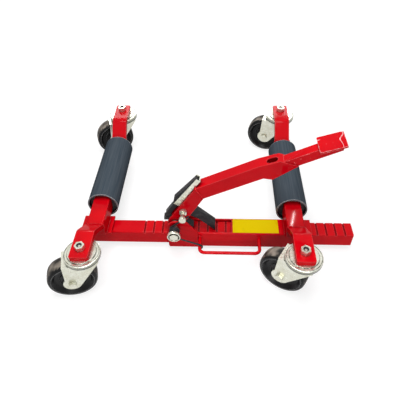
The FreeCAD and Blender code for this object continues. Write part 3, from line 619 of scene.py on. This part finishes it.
def bead_mesh(name, corners, look):
    """Rippled weld bead along a polyline, tapered at its ends."""
    step = look.bead_ripple / POINTS_PER_RIPPLE
    points = resampled(corners, step)
    count = len(points)
    sways = [noise.noise_vector(p * UNEVEN_PER_METRE) * look.bead_radius * UNEVEN_SHARE for p in points]
    uneven = [p + sway for p, sway in zip(points, sways)]

    def radius_at(k):
        ripple = 1 + RIPPLE_SHARE * math.cos(2 * math.pi * k * step / look.bead_ripple)
        taper = min(1, (min(k, count - 1 - k) + 1) * step / look.bead_radius)
        return look.bead_radius * ripple * math.sqrt(max(taper, END_SHARE))

    return swept_tube(name, uneven, radius_at, BEAD_RING)


def lathe(name, profile, centre, axis, segments):
    """Mesh of a closed profile of (along, radius) points turned about an axis."""
    axis = axis.normalized()
    side = axis.orthogonal().normalized()
    up = axis.cross(side)
    mesh = bpy.data.meshes.new(name)
    shape = bmesh.new()
    rings = []
    for j in range(segments):
        a = 2 * math.pi * j / segments
        out = side * math.cos(a) + up * math.sin(a)
        rings.append([shape.verts.new(centre + axis * along + out * radius) for along, radius in profile])
    for j in range(segments):
        first, second = rings[j], rings[(j + 1) % segments]
        for k in range(len(profile)):
            n = (k + 1) % len(profile)
            shape.faces.new((first[k], first[n], second[n], second[k]))
    bmesh.ops.recalc_face_normals(shape, faces=shape.faces)
    shape.to_mesh(mesh)
    shape.free()
    return mesh


# Operators

class JACK_OT_paint(Operator):
    """Paint the frame, brackets, cheeks and pedal red"""
    bl_idname = "jack.paint"
    bl_label = "Red frame and pedal"

    RED = ("ratchet_bar", "saddle_plate", "sleeve_tube", "front_cheek", "rear_cheek", "carry_handle",
           "pedal_leg", "pedal_arm", "left_arm", "right_arm", "left_arm_caps", "right_arm_caps")
    SCUFFED = ("pedal_extension",)
    SCRATCHED = ("foot_pad",)
    NOT_SOFTENED = ("carry_handle", "ratchet_bar", "sleeve_tube", "pedal_leg", "pedal_arm")
    WEAR = 0.03

    def execute(self, context):
        look = context.scene.jack_finish
        brackets = nodes_named("_bracket")
        dress(list(self.RED) + brackets, gloss_red(look))
        dress(self.SCUFFED, gloss_red(look, "scuffed_red", self.WEAR))
        dress(self.SCRATCHED, gloss_red(look, "scratched_red", self.WEAR, True))
        sheet = [n for n in self.RED if n not in self.NOT_SOFTENED]
        soften(sheet + brackets + list(self.SCUFFED + self.SCRATCHED), look.edge_round)
        bend = shared_corners("pedal_leg", "pedal_arm")
        for node in ("pedal_leg", "pedal_arm"):
            round_ridges(node, look.ridge_round, bend)
        return {"FINISHED"}


class JACK_OT_plate(Operator):
    """Plate the casters, bolts and pedal hardware with zinc"""
    bl_idname = "jack.plate"
    bl_label = "Zinc-plated hardware"

    PEDAL_HARDWARE = ["pivot_bolt", "pivot_nut_and_washer", "pivot_spacers", "pawl_bolt", "release_channel",
                      "release_pin"]
    # radii of the painted dark rings on the races
    RING_RADII = (0.0314, 0.0372)
    LIP_SHADOW_HEIGHT = 0.0045
    BOLT_ROUGHNESS = 0.18
    BALL_ROUGHNESS = 0.08

    def execute(self, context):
        look = context.scene.jack_finish
        forks = nodes_named("_caster_fork")
        bolts = nodes_named("_caster_king_bolt", "_caster_axle") + self.PEDAL_HARDWARE
        races = [corner + "_caster_race" for corner in CORNERS]
        for corner, race in zip(CORNERS, races):
            place = joint_place(corner + "_swivel_turn")
            place.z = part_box(race)[0].z
            rim = box_size(race).x / 2
            name = corner + "_zinc_race"
            dress([race], zinc_race(look, name, place, self.RING_RADII, rim, self.LIP_SHADOW_HEIGHT))
        dress(forks, zinc_plate(look))
        dress(bolts, zinc_plate(look, "zinc_bolts", self.BOLT_ROUGHNESS))
        dress(nodes_named("_caster_balls"), zinc_plate(look, "ball_steel", self.BALL_ROUGHNESS))
        soften(forks + bolts + races, look.edge_round)
        return {"FINISHED"}


class JACK_OT_nut_shade(Operator):
    """Line the king nuts above the ends of their bolts with black sheets of painted shade"""
    bl_idname = "jack.threads"
    bl_label = "Threads of the king bolts"

    # section of the painted shade lining in metres: height from the nut's top and distance from the bolt's
    # axis
    SHADE_LINING = ((-0.0029, 0.0030), (-0.0029, 0.0060), (-0.0004, 0.0060), (-0.0004, 0.0055), (-0.0025, 0.0055),
              (-0.0025, 0.0030))
    SEGMENTS = 32

    def execute(self, context):
        finish = black_steel(context.scene.jack_finish)
        for corner in CORNERS:
            place = joint_place(corner + "_swivel_turn")
            place.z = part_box(corner + "_caster_king_bolt")[1].z
            # painted shade: a black sheet inside each nut darkens its recess
            mesh = lathe(corner + "_king_thread", self.SHADE_LINING, place, Vector((0, 0, 1)), self.SEGMENTS)
            body = "slide_frame" if corner.endswith("left") else "sleeve_frame"
            new_piece(corner + "_king_thread", mesh, finish, body)
        return {"FINISHED"}


class JACK_OT_levers(Operator):
    """Blacken the two pawls and the release bar"""
    bl_idname = "jack.levers"
    bl_label = "Black pawls and release bar"

    def execute(self, context):
        look = context.scene.jack_finish
        levers = ["drive_pawl", "holding_pawl", "release_bar"]
        dress(levers, black_steel(look))
        soften(levers, look.edge_round)
        return {"FINISHED"}


class JACK_OT_rollers(Operator):
    """Finish the rollers and their bushes"""
    bl_idname = "jack.rollers"
    bl_label = "Rollers"

    def execute(self, context):
        look = context.scene.jack_finish
        dress(nodes_named("_roller"), roller_plastic(look))
        dress(nodes_named("_roller_bushes"), nylon(look))
        return {"FINISHED"}


class JACK_OT_label(Operator):
    """Finish the blank yellow plate on the sleeve"""
    bl_idname = "jack.label"
    bl_label = "Yellow plate"

    def execute(self, context):
        dress(["yellow_plate"], yellow_sheet(context.scene.jack_finish))
        return {"FINISHED"}


class JACK_OT_wheels(Operator):
    """Turn the four caster wheels with rim grooves, dished webs and worn treads"""
    bl_idname = "jack.wheels"
    bl_label = "Caster wheels"

    # half of the section as shares of the wheel's radius: place along the axle and distance from it
    HALF_SECTION_SHARES = (
        (0.00, 1.000), (0.10, 0.999), (0.18, 0.995), (0.24, 0.984), (0.29, 0.960), (0.323, 0.922),
        (0.335, 0.884), (0.335, 0.866), (0.323, 0.858), (0.323, 0.846), (0.335, 0.838), (0.335, 0.828),
        (0.320, 0.812), (0.178, 0.718), (0.160, 0.696), (0.156, 0.560), (0.164, 0.530), (0.216, 0.519),
        (0.226, 0.506), (0.226, 0.478), (0.216, 0.466), (0.164, 0.456), (0.156, 0.430), (0.160, 0.340),
        (0.176, 0.318), (0.338, 0.308), (0.353, 0.296), (0.353, 0.128),
    )
    TREAD_SHARES = (0.24, 0.98)
    SEGMENTS = 80
    SHARP_ANGLE = math.radians(50)

    def execute(self, context):
        finish = wheel_plastic(context.scene.jack_finish)
        for corner in CORNERS:
            node = corner + "_caster_wheel"
            roll = joint(corner + "_wheel_roll")
            centre, axis = Vector(roll["pos_m"]), Vector(roll["axis"])
            radius = box_size(node).z / 2
            half = [(along * radius, out * radius) for along, out in self.HALF_SECTION_SHARES]
            profile = half + [(-along, out) for along, out in reversed(half[1:])]
            mesh = lathe(corner + "_wheel_tread", profile, centre, axis, self.SEGMENTS)
            worn = mesh.attributes.new("tread", "FLOAT", "POINT")
            for vertex in mesh.vertices:
                arm = vertex.co - centre
                along = abs(arm.dot(axis))
                out = (arm - axis * arm.dot(axis)).length
                on_tread = along <= self.TREAD_SHARES[0] * radius and out >= self.TREAD_SHARES[1] * radius
                worn.data[vertex.index].value = float(on_tread)
            piece = new_piece(corner + "_wheel_tread", mesh, finish, corner + "_wheel")
            mesh.set_sharp_from_angle(angle=self.SHARP_ANGLE)
            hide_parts(node)
        return {"FINISHED"}


class JACK_OT_spring(Operator):
    """Wind the return spring round the pivot from the pawl bolt to the handle"""
    bl_idname = "jack.spring"
    bl_label = "Return spring"

    PAWL_BOLT_RADIUS = 0.005
    LEG_STEPS = 30
    HOOK_STEPS = 24
    COIL_STEP = math.radians(7)
    WIRE_RING = 14

    def execute(self, context):
        wind = context.scene.jack_spring
        rod = box_size("carry_handle").z
        hook = Vector((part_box("carry_handle")[0].x + rod / 2, 0, box_middle("carry_handle").z))
        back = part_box("front_cheek")[0].y - wind.wire / 2 - wind.gap
        slope = wind.pitch / (2 * math.pi * wind.radius)
        bolt_wrap = self.PAWL_BOLT_RADIUS + wind.wire / 2 + wind.gap
        hook_wrap = rod / 2 + wind.wire / 2 + wind.gap

        def aim(target, wrap):
            dx, dz = target.x - PIVOT.x, target.z - PIVOT.z
            far = math.hypot(dx, dz)
            lean = math.asin((wind.radius + wrap) / far)
            return math.atan2(dz, dx), lean, far * math.cos(lean)

        bolt_aim, bolt_lean, bolt_run = aim(PAWL_BOLT, bolt_wrap)
        hook_aim, hook_lean, hook_run = aim(hook, hook_wrap)
        leg_heading = bolt_aim - bolt_lean
        leg_run = bolt_run + wind.leg_beyond
        entry = leg_heading + math.pi / 2
        leave = hook_aim + hook_lean
        turn = (leave - math.pi / 2 - entry) % (2 * math.pi) + 2 * math.pi * wind.turns
        points = []

        def step(x, z, run):
            points.append(Vector((x, back - slope * run, z)))

        start = Vector((PIVOT.x + wind.radius * math.cos(entry), 0, PIVOT.z + wind.radius * math.sin(entry)))
        for k in range(self.LEG_STEPS):
            run = leg_run * k / self.LEG_STEPS
            reach = leg_run - run
            step(start.x + reach * math.cos(leg_heading), start.z + reach * math.sin(leg_heading), run)
        count = round(turn / self.COIL_STEP)
        for k in range(count):
            a = entry + turn * k / count
            step(PIVOT.x + wind.radius * math.cos(a), PIVOT.z + wind.radius * math.sin(a),
                 leg_run + wind.radius * (a - entry))
        run = leg_run + wind.radius * turn
        last = entry + turn
        foot = Vector((PIVOT.x + wind.radius * math.cos(last), 0, PIVOT.z + wind.radius * math.sin(last)))
        for k in range(self.LEG_STEPS):
            far = hook_run * k / self.LEG_STEPS
            step(foot.x + far * math.cos(leave), foot.z + far * math.sin(leave), run + far)
        run += hook_run
        for k in range(self.HOOK_STEPS + 1):
            bent = wind.hook_turn * k / self.HOOK_STEPS
            a = leave + math.pi / 2 - bent
            step(hook.x + hook_wrap * math.cos(a), hook.z + hook_wrap * math.sin(a), run + hook_wrap * bent)
        mesh = swept_tube("return_spring_wire", points, lambda k: wind.wire / 2, self.WIRE_RING)
        finish = black_steel(context.scene.jack_finish)
        piece = new_piece("return_spring_wire", mesh, finish, None)
        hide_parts("return_spring")
        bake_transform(piece)
        return {"FINISHED"}


class JACK_OT_welds(Operator):
    """Lay the weld beads of the arms, brackets, cheeks, handle and pedal"""
    bl_idname = "jack.welds"
    bl_label = "Weld beads"

    # with this seed the uneven bead across the pedal keeps clear of the release bar
    NOISE_SEED = 11
    END_INSET = 0.002
    BRACKET_WELD_DROP = 0.014
    HANDLE_RING_STEPS = 16

    def lay(self, name, corners, body):
        look = bpy.context.scene.jack_finish
        mesh = bead_mesh(name, [Vector(c) for c in corners], look)
        new_piece(name, mesh, self.paint, body)

    def execute(self, context):
        noise.seed_set(self.NOISE_SEED)
        self.paint = gloss_red(context.scene.jack_finish, "welded_red")
        for side, body in zip(SIDES, ("slide_frame", "sleeve_frame")):
            low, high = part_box(side + "_arm")
            seat = "saddle_plate" if side == "left" else "sleeve_tube"
            seat_low, seat_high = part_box(seat)
            for k, x in enumerate((low.x, high.x)):
                line = [(x, seat_low.y + self.END_INSET, low.z), (x, seat_high.y - self.END_INSET, low.z)]
                self.lay("%s_arm_weld_%d" % (side, k + 1), line, body)
            for end, y in (("front", low.y), ("rear", high.y)):
                foot = high.z - self.BRACKET_WELD_DROP
                arch = [(low.x, y, foot), (low.x, y, high.z), (high.x, y, high.z), (high.x, y, foot)]
                self.lay("%s_%s_bracket_weld" % (end, side), arch, body)
        self.lay_cheeks()
        self.lay_handle()
        self.lay_pedal()
        return {"FINISHED"}

    def lay_cheeks(self):
        low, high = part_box("sleeve_tube")
        inset = bpy.context.scene.jack_finish.bead_radius / 2
        for name, y, inner in (("front_cheek", low.y, low.y + inset), ("rear_cheek", high.y, high.y - inset)):
            cheek_low, cheek_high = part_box(name)
            upright = [(cheek_high.x, y, cheek_low.z + 2 * inset), (cheek_high.x, y, high.z - 3 * inset)]
            self.lay(name + "_side_weld", upright, "sleeve_frame")
            level = high.z - inset
            along = [(cheek_low.x + 4 * inset, inner, level), (cheek_high.x - 2 * inset, inner, level)]
            self.lay(name + "_top_weld", along, "sleeve_frame")

    def lay_handle(self):
        low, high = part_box("carry_handle")
        radius = (high.z - low.z) / 2
        middle = (low.z + high.z) / 2
        steps = self.HANDLE_RING_STEPS
        turns = [2 * math.pi * j / steps for j in range(steps + 1)]
        for k, x in enumerate((low.x + radius, high.x - radius)):
            ring = [(x + radius * math.cos(a), high.y, middle + radius * math.sin(a)) for a in turns]
            self.lay("handle_weld_%d" % (k + 1), ring, "sleeve_frame")

    def lay_pedal(self):
        corners = shared_corners("pedal_leg", "pedal_arm")
        front = min(c.y for c in corners)
        back = max(c.y for c in corners)
        upper = max(corners, key=lambda c: c.z)
        lower = min(corners, key=lambda c: c.z)
        loop = [(lower.x, front, lower.z), (upper.x, front, upper.z),
                (upper.x, back, upper.z), (lower.x, back, lower.z)]
        self.lay("pedal_bend_weld", loop, "pedal")


class JACK_OT_stage(Operator):
    """Set up the floor, lamps and camera"""
    bl_idname = "jack.stage"
    bl_label = "Stage"

    MIDDLE = (0, 0, 0.1)
    ARM_TOP = (0.230, -0.162, 0.103)
    # setting that holds a lamp's power, then its place, the place it points at and its size, in metres
    LAMPS = (
        ("key", (0.0, -0.25, 1.7), MIDDLE, (0.9, 1.1)),
        ("fill", (0.4, -2.0, 0.9), MIDDLE, (1.6, 0.8)),
        ("rim", (-0.1, 1.35, 0.84), MIDDLE, (1.5, 0.16)),
        ("glint", (-0.35, -1.1, 1.3), MIDDLE, (2.2, 0.06)),
        ("spark", (0.50, 0.824, 1.2), ARM_TOP, (0.006, 0.08)),
    )
    FLOOR_REACH = 6.0
    # glow of the floor as it is seen: at the first distance from the middle, and from the second one outwards
    GLOW_DISTANCES = (0.5, 1.5)
    GLOW_LEVELS = (0.74, 1.0)
    FILM_WIDTH = 36

    def lamp(self, name, place, target, size, power):
        data = bpy.data.lights.new(name, "AREA")
        data.shape = "RECTANGLE"
        data.size, data.size_y = size
        data.energy = power
        made = bpy.data.objects.new(name, data)
        made.location = place
        made.rotation_euler = (Vector(target) - Vector(place)).to_track_quat("-Z", "Y").to_euler()
        bpy.context.scene.collection.objects.link(made)

    def seen_rays(self, tree):
        """One for rays from the camera and for reflected or refracted rays, zero for the rest."""
        path = tree.nodes.new("ShaderNodeLightPath")
        kinds = [path.outputs["Is " + kind + " Ray"] for kind in ("Camera", "Glossy", "Transmission")]
        value = kinds[0]
        for kind in kinds[1:]:
            either = tree.nodes.new("ShaderNodeMath")
            either.operation = "MAXIMUM"
            tree.links.new(value, either.inputs[0])
            tree.links.new(kind, either.inputs[1])
            value = either.outputs["Value"]
        return value

    def make_floor(self, colour):
        mesh = bpy.data.meshes.new("floor")
        reach = self.FLOOR_REACH
        corners = [(-reach, -reach, 0), (reach, -reach, 0), (reach, reach, 0), (-reach, reach, 0)]
        mesh.from_pydata(corners, [], [(0, 1, 2, 3)])
        floor = bpy.data.objects.new("floor", mesh)
        bpy.context.scene.collection.objects.link(floor)
        ground = Finish("floor")
        ground.fix(Base_Color=(*colour, 1), Roughness=0.9, Specular_IOR_Level=0.0)
        ground.fix(Emission_Color=(1, 1, 1, 1))
        far = ground.add("ShaderNodeVectorMath", operation="LENGTH")
        ground.link(ground.place, far.inputs[0])
        pale = ground.spread(far.outputs["Value"], *self.GLOW_DISTANCES, *self.GLOW_LEVELS)
        glow = ground.times(self.seen_rays(ground.tree), pale)
        ground.link(glow, ground.shader.inputs["Emission Strength"])
        mesh.materials.append(ground.material)

    def make_sky(self, strength):
        world = bpy.data.worlds.new("studio")
        world.use_nodes = True
        tree = world.node_tree
        level = tree.nodes.new("ShaderNodeMath")
        level.operation = "MAXIMUM"
        level.inputs[1].default_value = strength
        tree.links.new(self.seen_rays(tree), level.inputs[0])
        tree.nodes["Background"].inputs["Color"].default_value = (1, 1, 1, 1)
        tree.links.new(level.outputs["Value"], tree.nodes["Background"].inputs["Strength"])
        bpy.context.scene.world = world

    def make_camera(self, stage):
        data = bpy.data.cameras.new("photo_camera")
        data.sensor_width = self.FILM_WIDTH
        data.sensor_fit = "HORIZONTAL"
        data.lens = stage.lens
        camera = bpy.data.objects.new("photo_camera", data)
        flat = math.cos(stage.camera_pitch)
        forward = Vector((math.sin(stage.camera_yaw) * flat, math.cos(stage.camera_yaw) * flat,
                          -math.sin(stage.camera_pitch)))
        right = Vector((math.cos(stage.camera_yaw), -math.sin(stage.camera_yaw), 0))
        up = right.cross(forward)
        c, s = math.cos(stage.camera_roll), math.sin(stage.camera_roll)
        right, up = right * c + up * s, up * c - right * s
        camera.matrix_world = Matrix((right, up, -forward)).transposed().to_4x4()
        camera.location = stage.camera_place
        bpy.context.scene.collection.objects.link(camera)
        bpy.context.scene.camera = camera

    def execute(self, context):
        stage = context.scene.jack_stage
        context.scene.view_settings.view_transform = "Standard"
        self.make_floor(stage.floor)
        self.make_sky(stage.sky)
        for setting, place, target, size in self.LAMPS:
            self.lamp(setting + "_lamp", place, target, size, getattr(stage, setting))
        self.make_camera(stage)
        return {"FINISHED"}


OPERATORS = (JACK_OT_paint, JACK_OT_plate, JACK_OT_nut_shade, JACK_OT_levers, JACK_OT_rollers,
             JACK_OT_label, JACK_OT_wheels, JACK_OT_spring, JACK_OT_welds, JACK_OT_stage)


class JACK_PT_sidebar(Panel):
    """Sizes, colours and steps of the jack"""
    bl_idname = "JACK_PT_sidebar"
    bl_label = "Vehicle positioning jack"
    bl_space_type = "VIEW_3D"
    bl_region_type = "UI"
    bl_category = "Jack"

    def draw(self, context):
        layout = self.layout
        for step in OPERATORS:
            layout.operator(step.bl_idname)
        for group in (context.scene.jack_finish, context.scene.jack_spring, context.scene.jack_stage):
            column = layout.column()
            for name in group.__annotations__:
                column.prop(group, name)


CLASSES = (JackFinish, JackSpring, JackStage) + OPERATORS + (JACK_PT_sidebar,)


def register():
    for cls in CLASSES:
        bpy.utils.register_class(cls)
    bpy.types.Scene.jack_finish = PointerProperty(type=JackFinish)
    bpy.types.Scene.jack_spring = PointerProperty(type=JackSpring)
    bpy.types.Scene.jack_stage = PointerProperty(type=JackStage)


def unregister():
    for name in ("jack_finish", "jack_spring", "jack_stage"):
        delattr(bpy.types.Scene, name)
    for cls in reversed(CLASSES):
        bpy.utils.unregister_class(cls)


def main():
    register()
    bpy.ops.jack.paint()
    bpy.ops.jack.plate()
    bpy.ops.jack.threads()
    bpy.ops.jack.levers()
    bpy.ops.jack.rollers()
    bpy.ops.jack.label()
    bpy.ops.jack.wheels()
    bpy.ops.jack.spring()
    bpy.ops.jack.welds()
    bpy.ops.jack.stage()


if __name__ == "__main__":
    main()
